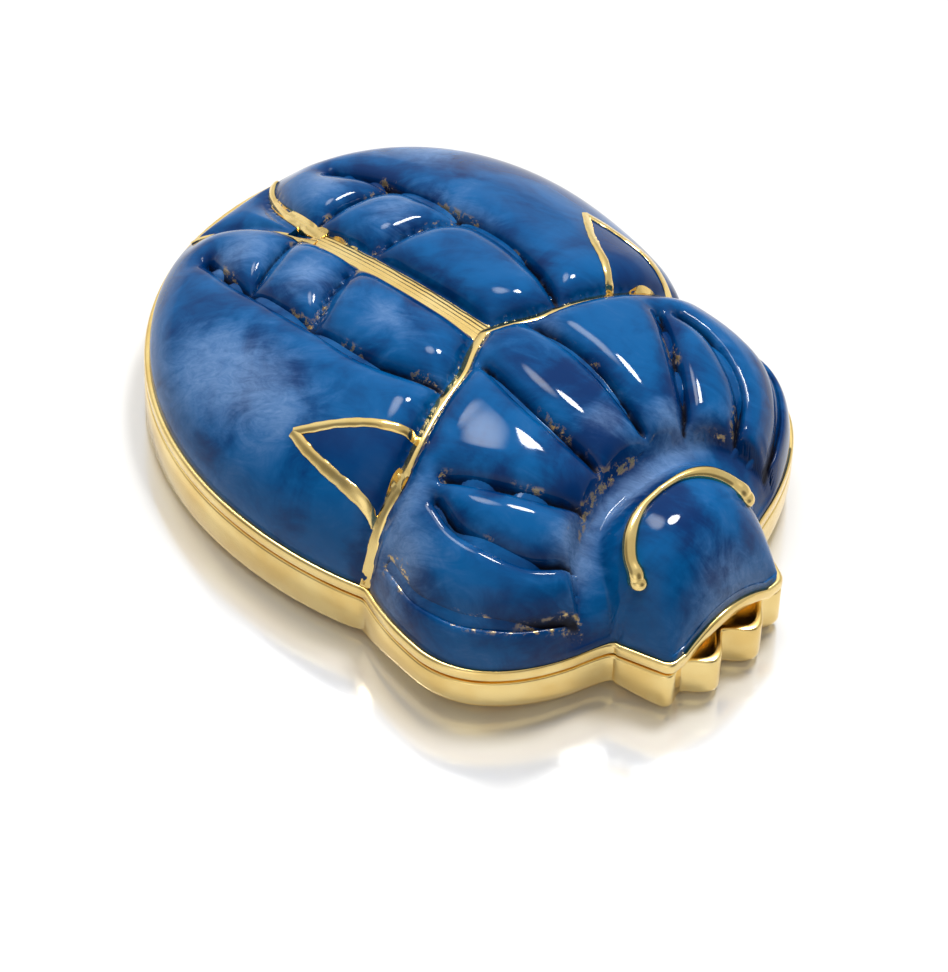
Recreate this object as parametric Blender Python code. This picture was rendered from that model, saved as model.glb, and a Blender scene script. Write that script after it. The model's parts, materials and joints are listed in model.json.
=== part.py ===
"""A scarab-shaped trinket box of gilt metal with an enamelled lid.

The box is two castings. The base is a shallow hollow shell with four teeth along its front edge. The lid is a
hollow dome that carries the beetle's relief, and it lifts off: it sits on the base's rim, over a raised lip.
The beetle's head points to -Y, its tail to +Y, and the flat underside of the base lies at Z = 0.
"""

import math

import bmesh
import bpy
import numpy as np

# All sizes are in millimetres, and Y = 0 is where the wing cases meet the front shield on the back.
MM = 0.001

# Outline of the wing cases: a slightly squared half-ellipse behind the widest place, a plain one before it
WING_HALF_WIDTH = 19.4
WING_WIDEST_Y = 6.0
TAIL_Y = 27.1
TAIL_SQUARENESS = 2.1
WING_FRONT_REACH = 25.5

# Outline of the front shield: a slightly squared ellipse
SHIELD_HALF_WIDTH = 18.2
SHIELD_WIDEST_Y = -12.0
SHIELD_FRONT_REACH = 10.2
SHIELD_REAR_REACH = 18.0
SHIELD_SQUARENESS = 2.1

# Outline of the head: straight flanks that end in the two outer teeth
HEAD_HALF_WIDTH = 7.6
HEAD_REAR_Y = -21.6
TOOTH_HALF_SPAN = 5.9
HEAD_FRONT_Y = -26.0
CORNER_ROUNDING = 0.7
NECK_FILLET = 2.4
WAIST_FILLET = 0.25

# Front edge of the base: two round lobes between the outer teeth
LOBE_CENTRE_X = 2.1
LOBE_HALF_WIDTH = 2.1
LOBE_REACH = 1.6
TOOTH_REACH = 0.5
TOOTH_WIDTH = 1.8

# Heights, from the seam between lid and base
SEAM_GAP = 0.3
BASE_DEPTH = 4.6
WING_WALL_DEPTH = 3.75
SHIELD_WALL_DEPTH = 2.1
TOOTH_WALL_DEPTH = 3.5
TOOTH_WALL_RAMP = 3.5
WING_WALL_FRONT_Y = -4.0
WING_WALL_RAMP = 7.0
UNDERSIDE_INSET = 4.2
FRONT_UNDERSIDE_INSET = 1.4
RIM_HEIGHT = 1.25
RIM_LEDGE = 0.45
DOME_HEIGHT = 11.5
DOME_PEAK_Y = -5.0
DOME_FRONT_REACH = 21.5
HEAD_DOME_HEIGHT = 8.7
HEAD_DOME_HALF_WIDTH = 7.4
HEAD_DOME_TOP_Y = -19.5
SPINE_REAR_REACH = 12.5

# Walls and the fit of the lid over the base's lip
LID_WALL = 1.2
BASE_WALL = 1.2
LIP_THICKNESS = 0.9
LIP_HEIGHT = 0.9
LIP_CLEARANCE = 0.3
FLOOR_THICKNESS = 1.2
INNER_CORNER = 0.4
FRONT_BLOCK = 2.0

# The thumb recess behind the lobes, and the arch of the lid's front edge above it
RECESS_HALF_WIDTH = 3.7
RECESS_WALL = 0.6
RECESS_DEPTH = 1.8
RECESS_REAR_Y = -24.1
ARCH_HALF_WIDTH = 4.4
ARCH_HEIGHT = 1.5

# Relief of the lid: the fields swell up as cushions between the grooves and the gilt lines
WING_CUSHION_RISE = 2.0
WING_CUSHION_WIDTH = 2.7
PETAL_CUSHION_RISE = 1.7
PETAL_CUSHION_WIDTH = 2.1
CUSHION_BASE_SHARE = 0.6
EDGE_FADE_HEIGHT = 3.2
GROOVE_DEPTH = 0.5
GROOVE_WIDTH = 0.6
BAND_HALF_WIDTH = 0.85
BAND_RISE = 0.3
GILT_LINE_HALF_WIDTH = 0.45
GILT_LINE_RISE = 0.25
TAIL_PLATE_DROP = 1.3
COLLAR_DROP = 0.8
RELIEF_BLEND = 0.5
CRESCENT_HALF_WIDTH = 0.6
CRESCENT_RISE = 0.5

# The frame's origin lies under the middle of the whole length
LOBE_TIP_Y = HEAD_FRONT_Y + TOOTH_REACH - LOBE_REACH
CENTRE_Y = (TAIL_Y + LOBE_TIP_Y) / 2

# How finely the castings are faceted
FACET_REACH = 0.6
FLANK_COUNT = 50
FRONT_COUNT = 10
LID_RING_COUNT = 22
LINING_RING_COUNT = 5

# Lines of the relief on the beetle's left half, seen from above and mirrored. Each point is a share of the
# part's half width and a share of its reach along Y: to the tail on the wing cases, to the front on the rest
WING_GROOVE_SHARES = (
    (0.304, -0.067), (0.356, 0.045), (0.392, 0.186), (0.392, 0.353), (0.387, 0.520), (0.371, 0.688), (0.330, 0.825)
)
WING_CROSS_GROOVE_SHARES = (
    ((0.376, 0.364), (0.222, 0.416), (0.052, 0.446)),
    ((0.361, 0.625), (0.206, 0.658), (0.057, 0.677)),
)
TAIL_BRANCH_SHARES = ((0.026, 0.627), (0.041, 0.731), (0.077, 0.834), (0.139, 0.919), (0.191, 0.956))
PETAL_GROOVE_SHARES = (
    ((0.143, 0.112), (0.165, 0.264), (0.159, 0.391), (0.132, 0.550)),
    ((0.604, 0.287), (0.484, 0.426), (0.368, 0.547), (0.291, 0.605)),
    ((0.681, 0.310), (0.706, 0.406), (0.665, 0.515), (0.593, 0.612), (0.462, 0.690)),
    ((0.896, 0.287), (0.923, 0.419), (0.885, 0.554), (0.764, 0.667), (0.621, 0.740), (0.533, 0.771)),
)
COLLAR_EDGE_SHARES = ((0.000, 0.574), (0.132, 0.581), (0.286, 0.616), (0.407, 0.663), (0.478, 0.717), (0.533, 0.775))
SHIELD_SEAM_SHARES = (
    (0.000, 0.008), (0.110, 0.038), (0.209, 0.073), (0.357, 0.100),
    (0.538, 0.142), (0.687, 0.177), (0.824, 0.194), (0.934, 0.221),
)
CRESCENT_SHARES = ((0.000, 0.708), (0.263, 0.715), (0.500, 0.742), (0.658, 0.785), (0.724, 0.835))


def smooth_larger(a, b, radius):
    """The larger of two values, with a fillet of about this radius where they meet."""
    blend = np.clip(0.5 + 0.5 * (a - b) / radius, 0.0, 1.0)
    return b + (a - b) * blend + radius * blend * (1.0 - blend) * 0.5


def smooth_step(low, high, value):
    share = np.clip((value - low) / (high - low), 0.0, 1.0)
    return share * share * (3.0 - 2.0 * share)


def ellipse_share(along, reach, squareness):
    """Width of a squared ellipse at a distance along its axis, from 1 at the middle to 0 at its reach."""
    share = np.clip(np.abs(along) / reach, 0.0, 1.0) ** squareness
    return (1.0 - share) ** (1.0 / squareness)


def half_width(y):
    """Half the width of the rim at each Y, from the tail to the corner of the head."""
    tail = WING_HALF_WIDTH * ellipse_share(y - WING_WIDEST_Y, TAIL_Y - WING_WIDEST_Y, TAIL_SQUARENESS)
    wings = WING_HALF_WIDTH * ellipse_share(y - WING_WIDEST_Y, WING_FRONT_REACH, 2.0)
    reach = np.where(y < SHIELD_WIDEST_Y, SHIELD_FRONT_REACH, SHIELD_REAR_REACH)
    shield = SHIELD_HALF_WIDTH * ellipse_share(y - SHIELD_WIDEST_Y, reach, SHIELD_SQUARENESS)
    slope = (HEAD_HALF_WIDTH - TOOTH_HALF_SPAN) / (HEAD_REAR_Y - HEAD_FRONT_Y)
    head = np.where(y < SHIELD_WIDEST_Y, TOOTH_HALF_SPAN + slope * (y - HEAD_FRONT_Y), 0.0)
    body = np.where(y < SHIELD_WIDEST_Y, shield, smooth_larger(wings, shield, WAIST_FILLET))
    body = np.where(y > WING_WIDEST_Y, tail, body)
    return np.where(y < SHIELD_WIDEST_Y, smooth_larger(body, head, NECK_FILLET), body)


def resample(points, count):
    """This many steps of equal length along a line of points."""
    lengths = np.concatenate([[0.0], np.cumsum(np.hypot(*np.diff(points, axis=0).T))])
    stations = np.linspace(0.0, lengths[-1], count + 1)
    return np.column_stack([np.interp(stations, lengths, points[:, axis]) for axis in (0, 1)])


def tooth_line(x):
    """Y of the base's front edge: a lobe each side of the middle, and a small tooth at each corner."""
    away = np.clip(np.abs(np.abs(x) - LOBE_CENTRE_X) / LOBE_HALF_WIDTH, 0.0, 1.0)
    lobe = (0.5 + 0.5 * np.cos(math.pi * away)) ** 0.7
    corner = smooth_step(TOOTH_HALF_SPAN - TOOTH_WIDTH, TOOTH_HALF_SPAN, np.abs(x))
    return HEAD_FRONT_Y + TOOTH_REACH - LOBE_REACH * lobe - TOOTH_REACH * corner


def round_corner(points, corner):
    """The line with the corner at this point rounded by a curve that touches both of its sides."""
    lengths = np.concatenate([[0.0], np.cumsum(np.hypot(*np.diff(points, axis=0).T))])
    ends = lengths[corner] + np.array([-CORNER_ROUNDING, CORNER_ROUNDING])
    before, after = np.column_stack([np.interp(ends, lengths, points[:, axis]) for axis in (0, 1)])
    share = (lengths - ends[0]) / (ends[1] - ends[0])
    t = share[:, None]
    curve = (1.0 - t) ** 2 * before + 2.0 * t * (1.0 - t) * points[corner] + t**2 * after
    return np.where((t > 0.0) & (t < 1.0), curve, points)


def outline(front_line):
    """The rim's points round the whole box, from the tail along +X to the head and back along -X."""
    angle = np.linspace(0.0, math.pi, 1500)
    middle = (TAIL_Y + HEAD_FRONT_Y) / 2
    y = middle + (TAIL_Y - middle) * np.cos(angle)
    flank = resample(np.column_stack([half_width(y), y]), FLANK_COUNT)
    corner_x = flank[-1, 0]
    x = np.linspace(corner_x, 0.0, FRONT_COUNT + 1)
    front = np.column_stack([x, front_line(x * TOOTH_HALF_SPAN / corner_x)])
    flank[-1] = front[0]
    half = round_corner(np.vstack([flank, front[1:]]), FLANK_COUNT)
    mirrored = half[-2:0:-1] * (-1.0, 1.0)
    return np.vstack([half, mirrored])


def plain_front(x):
    return np.full_like(x, HEAD_FRONT_Y)


def spine_points(rim):
    """The line down the middle that the rings close on."""
    y = np.clip(rim[:, 1], HEAD_DOME_TOP_Y, TAIL_Y - SPINE_REAR_REACH)
    return np.column_stack([np.zeros(len(rim)), y])


def inset(rim, distance):
    """The rim moved this far towards the middle line."""
    to_spine = spine_points(rim) - rim
    length = np.hypot(to_spine[:, 0], to_spine[:, 1])[:, None]
    return rim + to_spine / length * np.reshape(distance, (-1, 1))


def smooth_line(points, steps=6):
    """A smooth curve through a few points."""
    points = np.array(points, float)
    padded = np.vstack([2 * points[0] - points[1], points, 2 * points[-1] - points[-2]])
    curve = []
    for a, b, c, d in zip(padded, padded[1:], padded[2:], padded[3:]):
        for t in np.arange(steps) / steps:
            curve.append(
                0.5 * (2 * b + (c - a) * t + (2 * a - 5 * b + 4 * c - d) * t**2 + (3 * b - a - 3 * c + d) * t**3)
            )
    return np.vstack([curve, points[-1:]])


def distance_to_line(x, y, line):
    """Distance of each place on the left half to a line of points."""
    nearest = np.full(x.shape, 1e6)
    for start, end in zip(line, line[1:]):
        along = end - start
        share = ((x - start[0]) * along[0] + (y - start[1]) * along[1]) / (along @ along)
        share = np.clip(share, 0.0, 1.0)
        away = np.hypot(x - start[0] - share * along[0], y - start[1] - share * along[1])
        nearest = np.minimum(nearest, away)
    return nearest


def placed(shares, half_width_here, reach):
    """A line's points in millimetres from their shares of a half width and of a reach along Y."""
    return smooth_line(np.array(shares) * (half_width_here, reach))


WING_GROOVE = placed(WING_GROOVE_SHARES, WING_HALF_WIDTH, TAIL_Y)
WING_CROSS_GROOVES = [placed(shares, WING_HALF_WIDTH, TAIL_Y) for shares in WING_CROSS_GROOVE_SHARES]
TAIL_BRANCH = placed(TAIL_BRANCH_SHARES, WING_HALF_WIDTH, TAIL_Y)
PETAL_GROOVES = [placed(shares, SHIELD_HALF_WIDTH, HEAD_FRONT_Y) for shares in PETAL_GROOVE_SHARES]
COLLAR_EDGE = placed(COLLAR_EDGE_SHARES, SHIELD_HALF_WIDTH, HEAD_FRONT_Y)
SHIELD_SEAM = placed(SHIELD_SEAM_SHARES, SHIELD_HALF_WIDTH, HEAD_FRONT_Y)
CRESCENT = placed(CRESCENT_SHARES, HEAD_HALF_WIDTH, HEAD_FRONT_Y)
FORK_Y = TAIL_BRANCH_SHARES[0][1] * TAIL_Y
PLATE_Y = TAIL_BRANCH_SHARES[1][1] * TAIL_Y


def y_past(line, x, y):
    """How far each place lies towards the tail from a line that crosses the back."""
    return y - np.interp(x, line[:, 0], line[:, 1])


def x_inside(line, x, y):
    """How far each place lies towards the middle from a line that runs along the back."""
    return np.interp(y, line[:, 1], line[:, 0]) - x


def dome(x, y, width):
    """Height of the plain dome over the seam, without the carving."""
    reach = np.where(y > DOME_PEAK_Y, TAIL_Y - RIM_LEDGE - DOME_PEAK_Y, DOME_FRONT_REACH)
    share = np.clip(np.abs(y - DOME_PEAK_Y) / reach, 0.0, 1.0)
    rear = (1.0 - share**1.5) ** 0.66
    front = 1.0 - 0.85 * share**2
    rise = DOME_HEIGHT * np.where(y > DOME_PEAK_Y, rear, front)
    across = np.clip(np.abs(x) / width, 0.0, 1.0)
    fullness = 2.3 + 0.4 * smooth_step(-DOME_PEAK_Y, DOME_PEAK_Y, y)
    return RIM_HEIGHT + rise * np.sqrt(1.0 - across**fullness)


def head_dome(x, y, width):
    """Height of the head, which rises from the collar as a dome of its own."""
    across = np.clip(np.abs(x) / np.minimum(HEAD_DOME_HALF_WIDTH, width), 0.0, 1.0)
    front_reach = HEAD_DOME_TOP_Y - HEAD_FRONT_Y - RIM_LEDGE
    along = np.clip(np.abs(y - HEAD_DOME_TOP_Y) / front_reach, 0.0, 1.0)
    fall = np.where(y < HEAD_DOME_TOP_Y, along**2.6, np.clip(along * 1.2, 0.0, 1.0) ** 2)
    return RIM_HEIGHT + HEAD_DOME_HEIGHT * np.sqrt(np.clip((1.0 - across**2.6) * (1.0 - fall), 0.0, 1.0))


def cushion(distance, width):
    """Rises in a quarter circle from 0 at a groove to 1 at this distance from it."""
    share = np.clip(distance / width, 0.0, 1.0)
    return np.sqrt(share * (2.0 - share))


def wing_cushions(x, y, seam):
    """The wing cases' cushions, from 0 in a groove to 1: three beside the band and one outside the groove."""
    crossing = np.minimum.reduce([distance_to_line(x, y, line) for line in WING_CROSS_GROOVES])
    between = smooth_step(-RELIEF_BLEND, RELIEF_BLEND, x_inside(WING_GROOVE, x, y))
    crossed = 1.0 - between * (1.0 - cushion(crossing, WING_CUSHION_WIDTH))
    beside_band = np.where(y < PLATE_Y, np.maximum(x - BAND_HALF_WIDTH, 0.0), np.inf)
    beside_branch = np.where(y > FORK_Y, distance_to_line(x, y, TAIL_BRANCH), np.inf)
    inner = cushion(np.minimum(beside_band, beside_branch), WING_CUSHION_WIDTH)
    outer = cushion(distance_to_line(x, y, WING_GROOVE), WING_CUSHION_WIDTH)
    return inner * outer * crossed * cushion(seam, WING_CUSHION_WIDTH)


def petal_cushions(x, y, seam):
    """The shield's cushions, from 0 in a groove to 1: petals that fan out from the collar."""
    beyond_collar = np.abs(y_past(COLLAR_EDGE, x, y))
    beyond_collar = np.where(x < COLLAR_EDGE[-1, 0], beyond_collar, np.inf)
    petals = cushion(seam, PETAL_CUSHION_WIDTH) * cushion(beyond_collar, PETAL_CUSHION_WIDTH)
    for groove in PETAL_GROOVES:
        petals = petals * cushion(distance_to_line(x, y, groove), PETAL_CUSHION_WIDTH)
    return petals


def carved_height(x, y, width):
    """Height of the lid's outer face over the seam, with the carving that shows from a step away."""
    x = np.abs(x)
    plain = dome(x, y, width)
    edge_fade = smooth_step(0.0, EDGE_FADE_HEIGHT, plain - RIM_HEIGHT)
    seam = np.maximum(distance_to_line(x, y, SHIELD_SEAM) - GILT_LINE_HALF_WIDTH / 2, 0.0)
    on_wings = smooth_step(-RELIEF_BLEND, RELIEF_BLEND, y_past(SHIELD_SEAM, x, y))
    on_petals = smooth_step(-RELIEF_BLEND, RELIEF_BLEND, y_past(COLLAR_EDGE, x, y))
    wings = WING_CUSHION_RISE * (wing_cushions(x, y, seam) - CUSHION_BASE_SHARE)
    petals = PETAL_CUSHION_RISE * (petal_cushions(x, y, seam) * on_petals - CUSHION_BASE_SHARE)
    carving = wings * on_wings + petals * (1.0 - on_wings)
    grooves = np.minimum.reduce([distance_to_line(x, y, line) for line in (WING_GROOVE, *PETAL_GROOVES)])
    carving -= GROOVE_DEPTH * np.exp(-((grooves / GROOVE_WIDTH) ** 2))
    carving -= COLLAR_DROP * (1.0 - on_petals)
    tail_plate = smooth_step(0.0, 2.0 * RELIEF_BLEND, x_inside(TAIL_BRANCH, x, y))
    carving -= TAIL_PLATE_DROP * tail_plate * smooth_step(FORK_Y, PLATE_Y, y)
    shield = np.maximum(plain + carving * edge_fade, RIM_HEIGHT)
    surface = smooth_larger(shield, head_dome(x, y, width), RELIEF_BLEND)
    on_band = smooth_step(-RELIEF_BLEND, 0.0, y) * smooth_step(RELIEF_BLEND, 0.0, y - FORK_Y)
    surface += BAND_RISE * on_band * smooth_step(BAND_HALF_WIDTH, BAND_HALF_WIDTH / 2, x)
    for line in (SHIELD_SEAM, TAIL_BRANCH):
        ridge = np.exp(-((distance_to_line(x, y, line) / GILT_LINE_HALF_WIDTH) ** 2))
        surface += GILT_LINE_RISE * ridge * edge_fade
    bead = np.exp(-((distance_to_line(x, y, CRESCENT) / CRESCENT_HALF_WIDTH) ** 2))
    return surface + CRESCENT_RISE * bead


def facet_height(points, reach):
    """The carved height averaged over about a facet, so that a groove narrower than that stays even."""
    heights = []
    for across in (-reach, 0.0, reach):
        for along in (-reach, 0.0, reach):
            x = points[:, 0] + across
            y = points[:, 1] + along
            heights.append(carved_height(x, y, np.maximum(half_width(y) - RIM_LEDGE, RIM_LEDGE)))
    return np.mean(heights, axis=0)


def front_arch(rim):
    """How far the lid's edge is raised over the thumb recess."""
    share = np.clip(np.abs(rim[:, 0]) / ARCH_HALF_WIDTH, 0.0, 1.0)
    return ARCH_HEIGHT * (1.0 - share**2) * smooth_step(HEAD_FRONT_Y + RIM_LEDGE, HEAD_FRONT_Y, rim[:, 1])


def at_height(points, z):
    """A ring of points in space, Z given from the seam."""
    level = np.broadcast_to(z, len(points)) + BASE_DEPTH
    return np.column_stack([points - (0.0, CENTRE_Y), level])


def casting(name, rings):
    """One closed body from rings that run from the middle line out, round the rim and back to the middle line."""
    count = len(rings[0])
    mesh = bpy.data.meshes.new(name)
    obj = bpy.data.objects.new(name, mesh)
    bpy.context.scene.collection.objects.link(obj)
    shape = bmesh.new()
    rows = [[shape.verts.new(point * MM) for point in ring] for ring in rings]
    for inner, outer in zip(rows, rows[1:]):
        for i in range(count):
            j = (i + 1) % count
            shape.faces.new((inner[i], inner[j], outer[j], outer[i]))
    bmesh.ops.remove_doubles(shape, verts=shape.verts, dist=0.00001)
    bmesh.ops.recalc_face_normals(shape, faces=shape.faces)
    shape.to_mesh(mesh)
    shape.free()
    mesh.shade_smooth()
    mesh.set_sharp_from_angle(angle=math.radians(40.0))
    return obj


def finish(obj, name, colour, roughness, metallic):
    material = bpy.data.materials.new(name)
    material.use_nodes = True
    shader = material.node_tree.nodes["Principled BSDF"]
    shader.inputs["Base Color"].default_value = (*colour, 1.0)
    shader.inputs["Roughness"].default_value = roughness
    shader.inputs["Metallic"].default_value = metallic
    obj.data.materials.append(material)


def wall_depth(rim):
    """How far the base's upright wall reaches below the seam: deep at the wings and teeth, less at the shield."""
    y = rim[:, 1]
    wings = smooth_step(WING_WALL_FRONT_Y - WING_WALL_RAMP, WING_WALL_FRONT_Y, y)
    teeth = smooth_step(HEAD_REAR_Y + TOOTH_WALL_RAMP, HEAD_FRONT_Y + CORNER_ROUNDING, y)
    depth = SHIELD_WALL_DEPTH + (WING_WALL_DEPTH - SHIELD_WALL_DEPTH) * wings
    return depth + (TOOTH_WALL_DEPTH - SHIELD_WALL_DEPTH) * teeth


def front_share(rim):
    """1 at the head's front edge, 0 from the shield on."""
    return smooth_step(HEAD_REAR_Y, HEAD_FRONT_Y + CORNER_ROUNDING, rim[:, 1])


def build_lid():
    rim = outline(plain_front)
    spine = spine_points(rim)
    edge = inset(rim, RIM_LEDGE)
    arch = front_arch(rim)
    even = np.linspace(0.0, 1.0, LID_RING_COUNT)
    steps = (even**1.6 + 1.0 - (1.0 - even) ** 1.6) / 2
    rings = []
    for share in steps[::-1]:
        points = edge + (spine - edge) * share
        height = facet_height(points, FACET_REACH * min(1.0, 6.0 * share))
        rings.append(at_height(points, height + arch * (1.0 - share) ** 8))
    rings.append(at_height(edge, RIM_HEIGHT + arch))
    rings.append(at_height(rim, RIM_HEIGHT + arch))
    rings.append(at_height(rim, SEAM_GAP / 2 + arch))
    lining = inset(rim, LID_WALL)
    rings.append(at_height(lining, SEAM_GAP / 2 + arch))
    for share in np.linspace(0.0, 1.0, LINING_RING_COUNT) ** 1.3:
        points = lining + (spine - lining) * share
        width = np.maximum(half_width(points[:, 1]) - LID_WALL, 0.5)
        sunk = CUSHION_BASE_SHARE * WING_CUSHION_RISE + COLLAR_DROP
        shield = dome(points[:, 0], points[:, 1], width) - sunk - LID_WALL
        height = np.maximum(shield, SEAM_GAP + (arch + RIM_HEIGHT - SEAM_GAP) * (1.0 - share) ** 8)
        rings.append(at_height(points, height))
    lid = casting("lid", rings)
    finish(lid, "blue_enamel_on_gilt", (0.02, 0.12, 0.40), 0.1, 0.0)
    return lid


def build_base():
    rim = outline(tooth_line)
    plain = outline(plain_front)
    spine = spine_points(plain)
    top = -SEAM_GAP / 2
    wall = wall_depth(rim)
    curve = BASE_DEPTH - wall
    foot_inset = UNDERSIDE_INSET + (FRONT_UNDERSIDE_INSET - UNDERSIDE_INSET) * front_share(rim)
    rings = [at_height(spine, -BASE_DEPTH)]
    for angle in np.radians((90.0, 60.0, 30.0, 0.0)):
        points = inset(rim, foot_inset * (1.0 - math.cos(angle)))
        rings.append(at_height(points, -wall - curve * math.sin(angle)))
    rings.append(at_height(rim, top))
    block = FRONT_BLOCK * front_share(plain)
    lip = LID_WALL + LIP_CLEARANCE + block
    rings.append(at_height(inset(plain, lip), top))
    rings.append(at_height(inset(plain, lip), LIP_HEIGHT))
    rings.append(at_height(inset(plain, lip + LIP_THICKNESS), LIP_HEIGHT))
    floor = -BASE_DEPTH + FLOOR_THICKNESS
    side_bottom = np.maximum(-wall + INNER_CORNER, floor)
    rings.append(at_height(inset(plain, lip + LIP_THICKNESS), side_bottom))
    inner_foot = inset(plain, np.maximum(lip + LIP_THICKNESS + INNER_CORNER, BASE_WALL + foot_inset))
    rings.append(at_height(inner_foot, floor))
    rings.append(at_height(spine, floor))
    base = casting("base", rings)
    finish(base, "gilt_metal", (0.84, 0.62, 0.25), 0.2, 1.0)
    return base


def cut_thumb_recess(base):
    """The hollow behind the lobes that a thumbnail enters under the lid's arch."""
    x = np.linspace(-RECESS_HALF_WIDTH, RECESS_HALF_WIDTH, 25)
    front = np.column_stack([x, tooth_line(x) + RECESS_WALL])
    rear = np.array([[RECESS_HALF_WIDTH, RECESS_REAR_Y], [-RECESS_HALF_WIDTH, RECESS_REAR_Y]])
    loop = np.vstack([front, rear])
    shape = bmesh.new()
    floor = [shape.verts.new(point * MM) for point in at_height(loop, -RECESS_DEPTH)]
    face = shape.faces.new(floor)
    grown = bmesh.ops.extrude_face_region(shape, geom=[face])["geom"]
    raised = [item for item in grown if isinstance(item, bmesh.types.BMVert)]
    bmesh.ops.translate(shape, verts=raised, vec=(0.0, 0.0, (RECESS_DEPTH + 1.0) * MM))
    bmesh.ops.recalc_face_normals(shape, faces=shape.faces)
    mesh = bpy.data.meshes.new("thumb_recess_cutter")
    shape.to_mesh(mesh)
    shape.free()
    cutter = bpy.data.objects.new("thumb_recess_cutter", mesh)
    bpy.context.scene.collection.objects.link(cutter)
    cutter.hide_render = True
    cutter.display_type = "WIRE"
    cut = base.modifiers.new("thumb recess", "BOOLEAN")
    cut.operation = "DIFFERENCE"
    cut.solver = "EXACT"
    cut.object = cutter


def main():
    for obj in list(bpy.data.objects):
        bpy.data.objects.remove(obj)
    cut_thumb_recess(build_base())
    build_lid()


main()
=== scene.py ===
# %% [markdown]
# # A scarab trinket box
# The real box is two gilt castings. The lid carries a beetle's relief whose fields are filled with blue
# glass enamel, and it rests on a hollow base whose front edge has two lobes between two small teeth. This
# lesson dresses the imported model: fine meshes for enamel, gilt lines and castings, materials from nodes, and
# a plain studio round them.

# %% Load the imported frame
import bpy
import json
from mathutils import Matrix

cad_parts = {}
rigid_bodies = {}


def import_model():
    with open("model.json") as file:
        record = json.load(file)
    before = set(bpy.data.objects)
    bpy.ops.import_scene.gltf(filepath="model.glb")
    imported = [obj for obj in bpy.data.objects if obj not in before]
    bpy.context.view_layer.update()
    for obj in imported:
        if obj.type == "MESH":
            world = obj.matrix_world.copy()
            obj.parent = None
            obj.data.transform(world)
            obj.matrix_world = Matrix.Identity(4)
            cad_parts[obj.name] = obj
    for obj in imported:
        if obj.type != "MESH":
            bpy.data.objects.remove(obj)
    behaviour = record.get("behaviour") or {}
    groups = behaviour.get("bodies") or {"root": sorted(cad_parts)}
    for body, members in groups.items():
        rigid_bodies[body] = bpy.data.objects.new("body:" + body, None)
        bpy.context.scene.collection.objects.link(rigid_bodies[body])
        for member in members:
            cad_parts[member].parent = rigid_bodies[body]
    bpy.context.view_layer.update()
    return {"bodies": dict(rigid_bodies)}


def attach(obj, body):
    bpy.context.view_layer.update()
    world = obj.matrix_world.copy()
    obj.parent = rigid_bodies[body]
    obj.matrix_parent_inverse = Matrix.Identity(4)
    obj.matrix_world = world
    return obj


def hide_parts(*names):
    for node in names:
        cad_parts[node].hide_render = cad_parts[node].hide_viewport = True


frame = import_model()

# %% [markdown]
# ## Modules and the unit
# A maker measures such a box in millimetres, and so does this lesson. Numpy works on whole rows of points at
# once, so that even a very fine surface is quick to build.

# %% Modules and the unit
import json
import math

import bmesh
import bpy
import numpy as np
from mathutils import Matrix, Vector

MM = 0.001
print("a unit of the drawing is", MM, "m")

# %% [markdown]
# ## Sizes shared with the castings
# Lid and base of the real box meet at a level seam. Heights are measured from there, and Y = 0 lies where the
# wing cases meet the shield. The frame stands on the underside, so one helper moves all points into it.

# %% Driving sizes
WING_HALF_WIDTH = 19.4
WING_WIDEST_Y = 6.0
TAIL_Y = 27.1
TAIL_SQUARENESS = 2.1
WING_FRONT_REACH = 25.5
SHIELD_HALF_WIDTH = 18.2
SHIELD_WIDEST_Y = -12.0
SHIELD_FRONT_REACH = 10.2
SHIELD_REAR_REACH = 18.0
SHIELD_SQUARENESS = 2.1
HEAD_HALF_WIDTH = 7.6
HEAD_REAR_Y = -21.6
TOOTH_HALF_SPAN = 5.9
HEAD_FRONT_Y = -26.0
CORNER_ROUNDING = 0.7
NECK_FILLET = 2.4
WAIST_FILLET = 0.25
LOBE_CENTRE_X = 2.1
LOBE_HALF_WIDTH = 2.1
LOBE_REACH = 1.6
LOBE_FULLNESS = 0.7
TOOTH_REACH = 0.5
TOOTH_WIDTH = 1.8
HEAD_DOME_TOP_Y = -19.5
SPINE_REAR_REACH = 12.5
BASE_DEPTH = 4.6
RIM_HEIGHT = 1.25
RIM_LEDGE = 0.45
LOBE_TIP_Y = HEAD_FRONT_Y + TOOTH_REACH - LOBE_REACH
CENTRE_Y = (TAIL_Y + LOBE_TIP_Y) / 2


def in_frame(x, y, z):
    """Points of the frame, in metres, from the beetle's own millimetres."""
    return np.column_stack([x, np.asarray(y) - CENTRE_Y, np.broadcast_to(z, np.shape(x)) + BASE_DEPTH]) * MM


print("length", round(TAIL_Y - LOBE_TIP_Y, 2), "mm")

# %% [markdown]
# ## The rim's outline
# From above the rim is a few simple curves: half-ellipses for the wing cases, a squared ellipse for the
# shield and straight flanks for the head, joined by small fillets. It could be traced, but a formula keeps
# lid and base alike.

# %% Outline of the rim
def smooth_step(low, high, value):
    share = np.clip((value - low) / (high - low), 0.0, 1.0)
    return share * share * (3.0 - 2.0 * share)


def smooth_larger(a, b, radius):
    """The larger of two values, with a fillet of about this radius where they meet."""
    blend = np.clip(0.5 + 0.5 * (a - b) / radius, 0.0, 1.0)
    return b + (a - b) * blend + radius * blend * (1.0 - blend) * 0.5


def ellipse_share(along, reach, squareness):
    """Width of a squared ellipse at a distance along its axis, from 1 at the middle to 0 at its reach."""
    share = np.clip(np.abs(along) / reach, 0.0, 1.0) ** squareness
    return (1.0 - share) ** (1.0 / squareness)


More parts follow.
